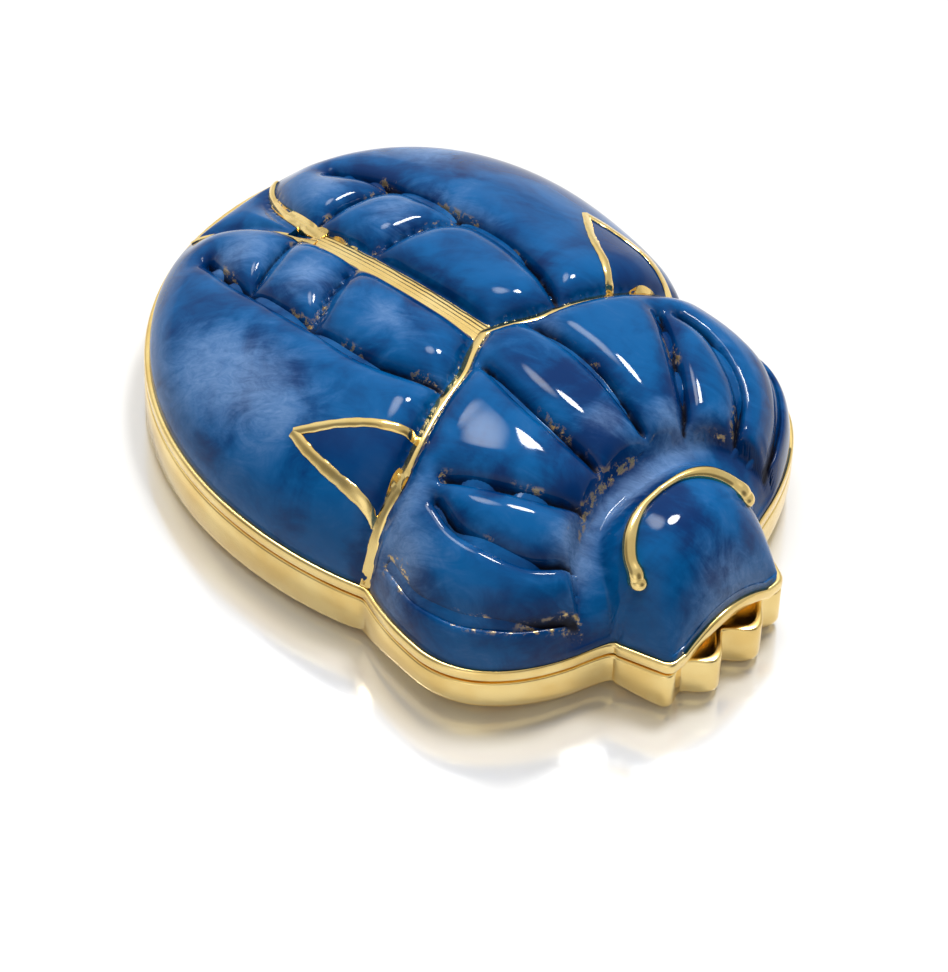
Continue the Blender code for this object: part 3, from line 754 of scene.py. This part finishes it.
def strip(path, half_widths, profile=STRIP_PROFILE):
    """Vertices and faces of one rounded strip that follows the surface along a path."""
    along = np.gradient(path, axis=0)
    along /= np.hypot(along[:, 0], along[:, 1])[:, None]
    side = np.column_stack([-along[:, 1], along[:, 0]])
    rings = []
    for across, proud in profile:
        place = path + side * (across * half_widths)[:, None]
        rings.append(in_frame(place[:, 0], place[:, 1], relief(place[:, 0], place[:, 1])[0] + proud))
    count, size = len(path), len(profile)
    points = np.stack(rings, axis=1).reshape(-1, 3)
    faces = []
    for i in range(count - 1):
        for j in range(size):
            k = (j + 1) % size
            faces.append((i * size + j, (i + 1) * size + j, (i + 1) * size + k, i * size + k))
    faces.append(tuple(range(size))[::-1])
    faces.append(tuple((count - 1) * size + j for j in range(size)))
    return points, faces


def strips(name, parts):
    """One piece from several strips."""
    points, faces, start = [], [], 0
    for part_points, part_faces in parts:
        points.append(part_points)
        faces.extend(tuple(start + i for i in face) for face in part_faces)
        start += len(part_points)
    return new_piece(name, np.vstack(points), faces)


def both_sides(path):
    """A path that starts on the middle line, continued through its mirror image."""
    return np.vstack([path[:0:-1] * (-1.0, 1.0), path])


def mirrored(path):
    return path * (-1.0, 1.0)


def wavering(path, width, amount, seed):
    """Half-widths that vary a little, as in hand-finished work."""
    share = np.linspace(0.0, 1.0, len(path))
    waver = np.sin(share * 23.0 + seed) * 0.6 + np.sin(share * 57.0 + seed * 2.3) * 0.4
    return width * (1.0 + amount * waver)


print("a gilt line stands", STRIP_PROFILE[4][1], "mm over the glass")

# %% [markdown]
# ## Seam, shoulders and tail
# On the real lid a line follows the shield's seam and swells where it meets the shoulder's triangle, and the
# wing band forks into two tapering lines round the tail plate. Bevelled curve objects would stay even: strips
# take a half width at every step, so they waver as hand-finished metal does.

# %% Seam, shoulder and tail lines
SEAM_STEPS = 90
LINE_STEPS = 60
SEAM_LINE_WIDENING = 1.15
SEAM_WAVER = 0.10
CORNER_SWELL = 0.22
CORNER_SWELL_X = 12.6
CORNER_SWELL_REACH = 0.9
TRIANGLE_TOP_HALF_WIDTH = 0.31
TRIANGLE_SIDE_HALF_WIDTH = 0.33
TRIANGLE_WAVER = 0.09
BRANCH_HALF_WIDTHS = (0.45, 0.22)

seam_path = both_sides(resample(smooth_line(SHIELD_SEAM), SEAM_STEPS))
seam_widths = wavering(seam_path, SEAM_LINE_WIDENING * LINE_HALF_WIDTH, SEAM_WAVER, 1.0)
from_corner = (np.abs(seam_path[:, 0]) - CORNER_SWELL_X) / CORNER_SWELL_REACH
seam_widths += CORNER_SWELL * np.exp(-(from_corner**2))
shield_line = strips("shield_line", [strip(seam_path, seam_widths)])

top_path = resample(smooth_line(TRIANGLE_TOP), LINE_STEPS)
side_path = resample(smooth_line(TRIANGLE_SIDE), LINE_STEPS)
top_widths = wavering(top_path, TRIANGLE_TOP_HALF_WIDTH, TRIANGLE_WAVER, 2.0)
side_widths = wavering(side_path, TRIANGLE_SIDE_HALF_WIDTH, TRIANGLE_WAVER, 4.0)
triangle_parts = []
for turn in (np.copy, mirrored):
    triangle_parts.append(strip(turn(top_path), top_widths))
    triangle_parts.append(strip(turn(side_path), side_widths))
shoulder_lines = strips("shoulder_lines", triangle_parts)

branch_path = resample(smooth_line(TAIL_BRANCH), LINE_STEPS)
branch_widths = np.linspace(*BRANCH_HALF_WIDTHS, len(branch_path))
tail_parts = [strip(turn(branch_path), branch_widths) for turn in (np.copy, mirrored)]
tail_lines = strips("tail_lines", tail_parts)
print("gilt line pieces", shield_line.name, shoulder_lines.name, tail_lines.name)

# %% [markdown]
# ## The wing band
# The band between the wing cases is wider and shows lengthwise brush ridges. A bump map would lose them in a
# close view, so the strip gets a profile with small waves instead.

# %% Wing band
BAND_CROWN = 0.16
BAND_EDGE_FALL = 0.10
RIDGE_HEIGHT = 0.025
RIDGE_TURNS = 17.0
BAND_FRONT_Y = -0.35
BAND_OVERLAP = 0.8
BAND_PLACES = 161
BAND_WAVER = 0.06


def band_height(share):
    """Height of the band over the glass, across its width from -1 to 1."""
    return BAND_CROWN - BAND_EDGE_FALL * share**2 + RIDGE_HEIGHT * math.sin(share * RIDGE_TURNS)


crown = [(share, band_height(share)) for share in np.linspace(-0.92, 0.92, 25)]
BAND_PROFILE = ((-1.0, -0.6), (-1.0, 0.0), *crown, (1.0, 0.0), (1.0, -0.6))
band_y = np.linspace(BAND_FRONT_Y, FORK_Y + BAND_OVERLAP, BAND_PLACES)
band_path = np.column_stack([np.zeros(BAND_PLACES), band_y])
band_widths = wavering(band_path, BAND_HALF_WIDTH, BAND_WAVER, 0.5)
wing_band = strips("wing_band", [strip(band_path, band_widths, profile=BAND_PROFILE)])
print("wing band faces", len(wing_band.data.polygons))

# %% [markdown]
# ## The head's crescent
# The crescent on the head is a raised bead that thins towards the middle and ends in a drop on each side. It
# is rounder than the lines, so it is a tube swept along the surface instead of a strip.

# %% Head crescent
CRESCENT_STEPS = 70
CRESCENT_SIDES = 20
CRESCENT_RADIUS = 0.26
CRESCENT_SWELL = 0.30
CRESCENT_END_SWELL = 0.10
CRESCENT_LIFT = 0.20
DROP_RADIUS = 0.68
DROP_STRETCH = 1.25


def build_crescent():
    path = both_sides(resample(smooth_line(CRESCENT), CRESCENT_STEPS))
    lengths = lengths_along(path)
    share = np.abs(2.0 * lengths / lengths[-1] - 1.0)
    radius = CRESCENT_RADIUS + CRESCENT_SWELL * smooth_step(0.1, 0.7, share)
    radius = radius + CRESCENT_END_SWELL * smooth_step(0.84, 0.98, share)
    heights = relief(path[:, 0], path[:, 1])[0]
    centre = np.column_stack([path, heights + CRESCENT_LIFT])
    along = np.gradient(centre, axis=0)
    along /= np.linalg.norm(along, axis=1)[:, None]
    up = np.array([0.0, 0.0, 1.0])
    side = np.cross(along, up)
    side /= np.linalg.norm(side, axis=1)[:, None]
    out = np.cross(side, along)
    rings = []
    for turn in np.linspace(0.0, 2.0 * math.pi, CRESCENT_SIDES, endpoint=False):
        rings.append(centre + radius[:, None] * (math.cos(turn) * side + math.sin(turn) * out))
    points = np.stack(rings, axis=1).reshape(-1, 3)
    points = in_frame(points[:, 0], points[:, 1], points[:, 2])
    faces = ring_faces(len(path), CRESCENT_SIDES)
    faces.append(tuple(range(CRESCENT_SIDES))[::-1])
    faces.append(tuple((len(path) - 1) * CRESCENT_SIDES + j for j in range(CRESCENT_SIDES)))
    parts = [(points, faces)]
    for end in (centre[0], centre[-1]):
        parts.append(drop(end, DROP_RADIUS))
    return strips("head_crescent", parts)


def drop(centre, radius, rows=14, sides=28):
    """A rounded drop of metal, a little longer than wide."""
    points = [centre + (0.0, 0.0, radius)]
    for row in range(1, rows):
        tilt = math.pi * row / rows
        for turn in np.linspace(0.0, 2.0 * math.pi, sides, endpoint=False):
            level = math.sin(tilt)
            offset = (level * math.cos(turn), DROP_STRETCH * level * math.sin(turn), math.cos(tilt))
            points.append(centre + radius * np.array(offset))
    points.append(centre - (0.0, 0.0, radius))
    points = np.array(points)
    faces = []
    for row in range(rows - 2):
        for j in range(sides):
            k = (j + 1) % sides
            low = 1 + row * sides
            faces.append((low + j, low + sides + j, low + sides + k, low + k))
    last = len(points) - 1
    for j in range(sides):
        k = (j + 1) % sides
        faces.append((0, 1 + j, 1 + k))
        faces.append((last, last - sides + k, last - sides + j))
    return in_frame(points[:, 0], points[:, 1], points[:, 2]), faces


head_crescent = build_crescent()
print("crescent faces", len(head_crescent.data.polygons))

# %% [markdown]
# ## A small language for shader maths
# A material is a graph of nodes. It could be wired socket by socket, but that hides what it works out.
# Wrapping a socket in a class with overloaded operators lets the graph be written as arithmetic, and one
# method makes any other node.

# %% Shader values
class Value:
    """A socket of a material's node tree that can be used in expressions."""

    def __init__(self, tree, socket=None):
        self.tree = tree
        self.socket = socket

    def node(self, kind, settings=None, inputs=None, out=0):
        """A new node of this type, with its settings first and then its sockets' values or links."""
        made = self.tree.nodes.new(kind)
        for name, setting in (settings or {}).items():
            setattr(made, name, setting)
        for name, given in (inputs or {}).items():
            socket = made.inputs[name]
            if isinstance(given, Value):
                self.tree.links.new(given.socket, socket)
            else:
                socket.default_value = given
        return Value(self.tree, made.outputs[out])

    def maths(self, operation, first, second):
        return self.node("ShaderNodeMath", {"operation": operation}, {0: first, 1: second})

    def __add__(self, other):
        return self.maths("ADD", self, other)

    __radd__ = __add__

    def __sub__(self, other):
        return self.maths("SUBTRACT", self, other)

    def __rsub__(self, other):
        return self.maths("SUBTRACT", other, self)

    def __mul__(self, other):
        return self.maths("MULTIPLY", self, other)

    __rmul__ = __mul__

    def step(self, low, high):
        """0 below low, 1 above high and smooth between."""
        settings = {"interpolation_type": "SMOOTHSTEP"}
        return self.node("ShaderNodeMapRange", settings, {"Value": self, "From Min": low, "From Max": high})

    def mix(self, dark, light):
        """A colour between two colours, by this value."""
        inputs = {"Factor": self, 6: dark, 7: light}
        return self.node("ShaderNodeMix", {"data_type": "RGBA"}, inputs, out=2)


def new_material(name):
    """A material with an empty Principled shader, and a value to write expressions from."""
    material = bpy.data.materials.new(name)
    material.use_nodes = True
    shader = material.node_tree.nodes["Principled BSDF"]
    return material, shader, Value(material.node_tree)


def feed(shader, name, value):
    value.tree.links.new(value.socket, shader.inputs[name])


def noise(start, place, scale, detail=4.0, roughness=0.5, distortion=0.0):
    inputs = {"Vector": place, "Scale": scale, "Detail": detail}
    inputs |= {"Roughness": roughness, "Distortion": distortion}
    return start.node("ShaderNodeTexNoise", None, inputs)


def measure(start, name):
    """A measure that a piece keeps on its vertices."""
    return start.node("ShaderNodeAttribute", {"attribute_name": name}, None, out=2)


def place_in_object(start, stretch=(1.0, 1.0, 1.0), turn=0.0):
    """Object coordinates, stretched and turned about Z."""
    at = start.node("ShaderNodeTexCoord", None, None, out=3)
    inputs = {"Vector": at, "Scale": stretch, "Rotation": (0.0, 0.0, turn)}
    return start.node("ShaderNodeMapping", {"vector_type": "TEXTURE"}, inputs)


print("shader language ready")

# %% [markdown]
# ## Blue enamel
# The glass isn't one blue. Deep cobalt and a clearer blue drift through each other, and milk lies in soft
# clouds with fine wisps in them. Some of the milk is painted light: a brighter middle on the wing pillows and
# a painted reflection of the floor on the near wing case. Each field darkens towards its edges, partly deeper
# glass and partly painted shade. Painted shade also turns the bottoms of the grooves and the foot of the
# collar's step near black, with flecks of the gilt casting showing through. Real glass is see-through, but so
# deep a colour hardly
# lets light back from the metal: a glossy opaque shader looks right and renders fast.

# %% Enamel material
DEEP = (0.0002, 0.019, 0.088, 1.0)
CLEAR = (0.0006, 0.070, 0.215, 1.0)
MILK_AND_SHEEN = (0.125, 0.215, 0.390, 1.0)
GROOVE_SHADE = (0.004, 0.004, 0.010, 1.0)
FLECK_GOLD = (0.55, 0.40, 0.18, 1.0)
GLASS_ROUGHNESS = 0.05
FLECK_ROUGHNESS = 0.3
GROOVE_ROUGHNESS = 0.6
GLASS_IOR = 1.5
GLASS_SPECULAR = 0.16
SHOULDER_DEPTH = 0.7


def enamel_material():
    material, shader, start = new_material("blue_enamel")
    place = place_in_object(start)
    wisps = place_in_object(start, stretch=(0.6, 1.6, 1.0), turn=0.5)
    cloud = noise(start, place, 130.0, detail=5.0, roughness=0.55, distortion=0.8)
    drift = noise(start, wisps, 260.0, detail=8.0, roughness=0.65, distortion=2.2)
    fibre = noise(start, wisps, 700.0, detail=6.0, roughness=0.7, distortion=3.0)
    groove = measure(start, "groove_distance")
    # Darker towards each field's edge: partly deeper glass pooled there, partly painted shade.
    near_edge = 1.0 - measure(start, "edge_distance").step(0.1, 1.9)
    depth = cloud * 0.75 + drift * 0.25 - near_edge * 0.12
    blue = depth.step(0.30, 0.56).mix(DEEP, CLEAR)
    # Milk of the glass, together with the painted light and painted reflection of some clouds.
    milk_sheen_share = (measure(start, "milk_and_sheen") + (cloud - 0.5) * 1.1 + (drift - 0.5) * 0.8).step(0.06, 1.0)
    blue = (milk_sheen_share * (0.66 + (fibre - 0.5) * 1.2)).mix(blue, MILK_AND_SHEEN)
    blue = (measure(start, "shoulder") * SHOULDER_DEPTH).mix(blue, DEEP)
    grain = noise(start, place, 1500.0, detail=2.0)
    # Painted shade: the bottoms of the grooves, the cross grooves and the foot of the collar's step are
    # darkened to near black.
    groove_shade = 1.0 - (groove + grain * 0.22).step(0.16, 0.42)
    blue = groove_shade.mix(blue, GROOVE_SHADE)
    flake = noise(start, place, 1500.0, detail=4.0, roughness=0.7)
    patch = noise(start, place, 260.0, detail=1.0)
    beside_groove = (1.0 - groove.step(0.22, 0.62)) * groove.step(0.10, 0.24)
    fleck = beside_groove * flake.step(0.50, 0.60) * patch.step(0.55, 0.62)
    feed(shader, "Base Color", fleck.mix(blue, FLECK_GOLD))
    feed(shader, "Metallic", fleck)
    feed(shader, "Roughness", GLASS_ROUGHNESS + fleck * FLECK_ROUGHNESS + groove_shade * GROOVE_ROUGHNESS)
    shader.inputs["IOR"].default_value = GLASS_IOR
    shader.inputs["Specular IOR Level"].default_value = GLASS_SPECULAR
    wave = noise(start, place, 240.0, detail=2.0)
    swell = start.node("ShaderNodeBump", None, {"Strength": 0.12, "Distance": 0.0003, "Height": wave})
    feed(shader, "Normal", swell)
    return material


lid_enamel.data.materials.append(enamel_material())
print("enamel nodes", len(lid_enamel.data.materials[0].node_tree.nodes))

# %% [markdown]
# ## Gold plating
# Plated metal takes its look from what it mirrors. One flat colour would look like plastic: a soft roughness
# that varies a little, fine polishing marks and a slightly uneven tone make it metal. The lines are polished
# brightest, and the wing band keeps its brush marks.

# %% Gilt materials
PALE_GOLD = (0.95, 0.73, 0.31, 1.0)
WARM_GOLD = (0.85, 0.60, 0.21, 1.0)


def gilt_material(name, roughness, brushed=0.0):
    material, shader, start = new_material(name)
    place = place_in_object(start)
    tone = noise(start, place, 320.0, detail=4.0)
    feed(shader, "Base Color", tone.step(0.3, 0.7).mix(WARM_GOLD, PALE_GOLD))
    shader.inputs["Metallic"].default_value = 1.0
    polish = noise(start, place, 900.0, detail=5.0)
    feed(shader, "Roughness", roughness + polish * 0.12)
    marks = noise(start, place_in_object(start, stretch=(1.0, 14.0, 1.0)), 2600.0, detail=3.0)
    ripple = noise(start, place, 300.0, detail=2.0)
    height = ripple * 0.6 + marks * (0.05 + brushed)
    bump = start.node("ShaderNodeBump", None, {"Strength": 0.25, "Distance": 0.0001, "Height": height})
    feed(shader, "Normal", bump)
    return material


casting_gilt = gilt_material("gilt_casting", 0.12)
line_gilt = gilt_material("gilt_lines", 0.10)
band_gilt = gilt_material("brushed_gilt", 0.18, brushed=0.8)
lid_casting.data.materials.append(casting_gilt)
base_casting.data.materials.clear()
base_casting.data.materials.append(casting_gilt)
for piece in (shield_line, shoulder_lines, tail_lines, head_crescent):
    piece.data.materials.append(line_gilt)
wing_band.data.materials.append(band_gilt)
print("gilt materials", casting_gilt.name, line_gilt.name, band_gilt.name)

# %% [markdown]
# ## What each piece stands for
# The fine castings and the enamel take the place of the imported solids, and the gilt lines lie on the lid.
# The box has no joint: the lid lifts off and rests on the base, so everything rides on the one body.

# %% Ride and replace
body = next(iter(frame["bodies"]))
gilt_lines = (shield_line, shoulder_lines, tail_lines, wing_band, head_crescent)
for piece in (lid_enamel, lid_casting, base_casting, *gilt_lines):
    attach(piece, body)
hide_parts("lid")
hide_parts("lid")
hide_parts("base")
print("all pieces ride on", body)

# %% [markdown]
# ## The studio
# The box stands on a glossy pale floor that mirrors it softly. Even light from all round hardly shows in dark
# glass, but one small lamp and one soft bright patch do, and give each pillow its pair of highlights. Fainter
# patches give the gilt wall something to mirror.

# %% Floor
FLOOR_HALF_SIZE = 1.6
FLOOR_STEPS = 24
FLOOR_DROP = 0.00002
FLOOR_GREY = (0.61, 0.605, 0.60, 1.0)
FLOOR_PALE = (0.64, 0.635, 0.63, 1.0)
FLOOR_ROUGHNESS = 0.14
FLOOR_IOR = 4.2


def build_floor():
    grid = np.linspace(-FLOOR_HALF_SIZE, FLOOR_HALF_SIZE, FLOOR_STEPS + 1)
    points = [(x, y, -FLOOR_DROP) for y in grid for x in grid]
    row = FLOOR_STEPS + 1
    faces = [
        (j * row + i, j * row + i + 1, (j + 1) * row + i + 1, (j + 1) * row + i)
        for j in range(FLOOR_STEPS)
        for i in range(FLOOR_STEPS)
    ]
    floor = new_piece("studio_floor", points, faces)
    material, shader, start = new_material("pale_floor")
    speck = noise(start, place_in_object(start), 6.0, detail=2.0)
    feed(shader, "Base Color", speck.mix(FLOOR_GREY, FLOOR_PALE))
    shader.inputs["Roughness"].default_value = FLOOR_ROUGHNESS
    shader.inputs["IOR"].default_value = FLOOR_IOR
    floor.data.materials.append(material)


build_floor()
print("floor of", 2 * FLOOR_HALF_SIZE, "m")

# %% [markdown]
# ## Light
# A lamp is given by the direction it shines from, so that its highlight can be moved over the dome. Each
# patch of the surround is a direction, the light it adds or takes away, and the angles in degrees within
# which it is full and at which it ends.

# %% Light
SURROUND_STRENGTH = 0.60
SURROUND_PATCHES = (
    ((0.06, 0.28, 0.96), 17.0, 1.0, 12.0),
    ((0.3, 0.6, 0.8), 0.4, 10.0, 60.0),
    ((-0.1, -0.95, 0.30), -0.42, 6.0, 34.0),
    ((-0.85, -0.5, 0.20), 0.5, 2.0, 22.0),
    ((-0.9, 0.35, 0.45), -0.35, 6.0, 30.0),
)


def lamp(name, direction, distance, size, power):
    light = bpy.data.lights.new(name, "AREA")
    light.shape = "DISK"
    light.size = size
    light.energy = power
    lamp_object = bpy.data.objects.new(name, light)
    toward = Vector(direction).normalized()
    lamp_object.location = toward * distance
    lamp_object.rotation_euler = toward.to_track_quat("Z", "Y").to_euler()
    bpy.context.scene.collection.objects.link(lamp_object)


def surround(strength, patches):
    """White light from all round, with soft brighter and darker patches in some directions."""
    world = bpy.data.worlds.new("soft_surround")
    world.use_nodes = True
    tree = world.node_tree
    start = Value(tree)
    toward = start.node("ShaderNodeTexCoord", None, None, out=0)
    dot = {"operation": "DOT_PRODUCT"}
    light = strength
    for direction, power, inner, outer in patches:
        unit = Vector(direction).normalized()
        facing = start.node("ShaderNodeVectorMath", dot, {0: toward, 1: unit}, out=1)
        light = light + facing.step(math.cos(math.radians(outer)), math.cos(math.radians(inner))) * power
    background = tree.nodes["Background"]
    background.inputs["Color"].default_value = (1.0, 1.0, 1.0, 1.0)
    tree.links.new(light.socket, background.inputs["Strength"])
    bpy.context.scene.world = world


surround(SURROUND_STRENGTH, SURROUND_PATCHES)
lamp("key_lamp", direction=(0.3, 0.03, 0.95), distance=0.5, size=0.10, power=2.1)

# %% [markdown]
# ## The camera
# The photograph was taken with a long lens from the beetle's front right, looking down. A camera could be
# placed by eye, but mirrored pairs of features, such as the shoulders, fix its angles, and the size of the
# box in the picture fixes the framing.

# %% Camera
AZIMUTH = math.radians(-46.6)
ELEVATION = math.radians(52.5)
ROLL = math.radians(2.73)
DISTANCE = 0.5
PIXELS_PER_METRE = 13500.0
PICTURE_WIDTH = 948
PICTURE_HEIGHT = 972
SENSOR_WIDTH = 36.0
SEAM_CENTRE_PIXEL = (476.8, 426.9)


def build_camera():
    back = Vector((
        math.sin(AZIMUTH) * math.cos(ELEVATION),
        -math.cos(AZIMUTH) * math.cos(ELEVATION),
        math.sin(ELEVATION),
    ))
    level = Vector((math.cos(AZIMUTH), math.sin(AZIMUTH), 0.0))
    upright = back.cross(level)
    right = math.cos(ROLL) * level + math.sin(ROLL) * upright
    up = -math.sin(ROLL) * level + math.cos(ROLL) * upright
    seam_centre = Vector(in_frame(np.array([0.0]), np.array([0.0]), np.array([0.0]))[0])
    across = (PICTURE_WIDTH / 2 - SEAM_CENTRE_PIXEL[0]) / PIXELS_PER_METRE
    upwards = (SEAM_CENTRE_PIXEL[1] - PICTURE_HEIGHT / 2) / PIXELS_PER_METRE
    target = seam_centre + right * across + up * upwards
    camera = bpy.data.cameras.new("photo_camera")
    camera.sensor_fit = "HORIZONTAL"
    camera.sensor_width = SENSOR_WIDTH
    camera.lens = PIXELS_PER_METRE * DISTANCE * SENSOR_WIDTH / PICTURE_WIDTH
    holder = bpy.data.objects.new("photo_camera", camera)
    place = target + back * DISTANCE
    holder.matrix_world = Matrix((
        (right.x, up.x, back.x, place.x),
        (right.y, up.y, back.y, place.y),
        (right.z, up.z, back.z, place.z),
        (0.0, 0.0, 0.0, 1.0),
    ))
    bpy.context.scene.collection.objects.link(holder)
    bpy.context.scene.camera = holder
    return camera


photo_camera = build_camera()
print("lens", round(photo_camera.lens, 1), "mm")

# %% [markdown]
# ## View
# A film curve would soften the colours, so they are shown as they are and the blues stay deep.

# %% View and the end
bpy.context.scene.view_settings.view_transform = "Standard"
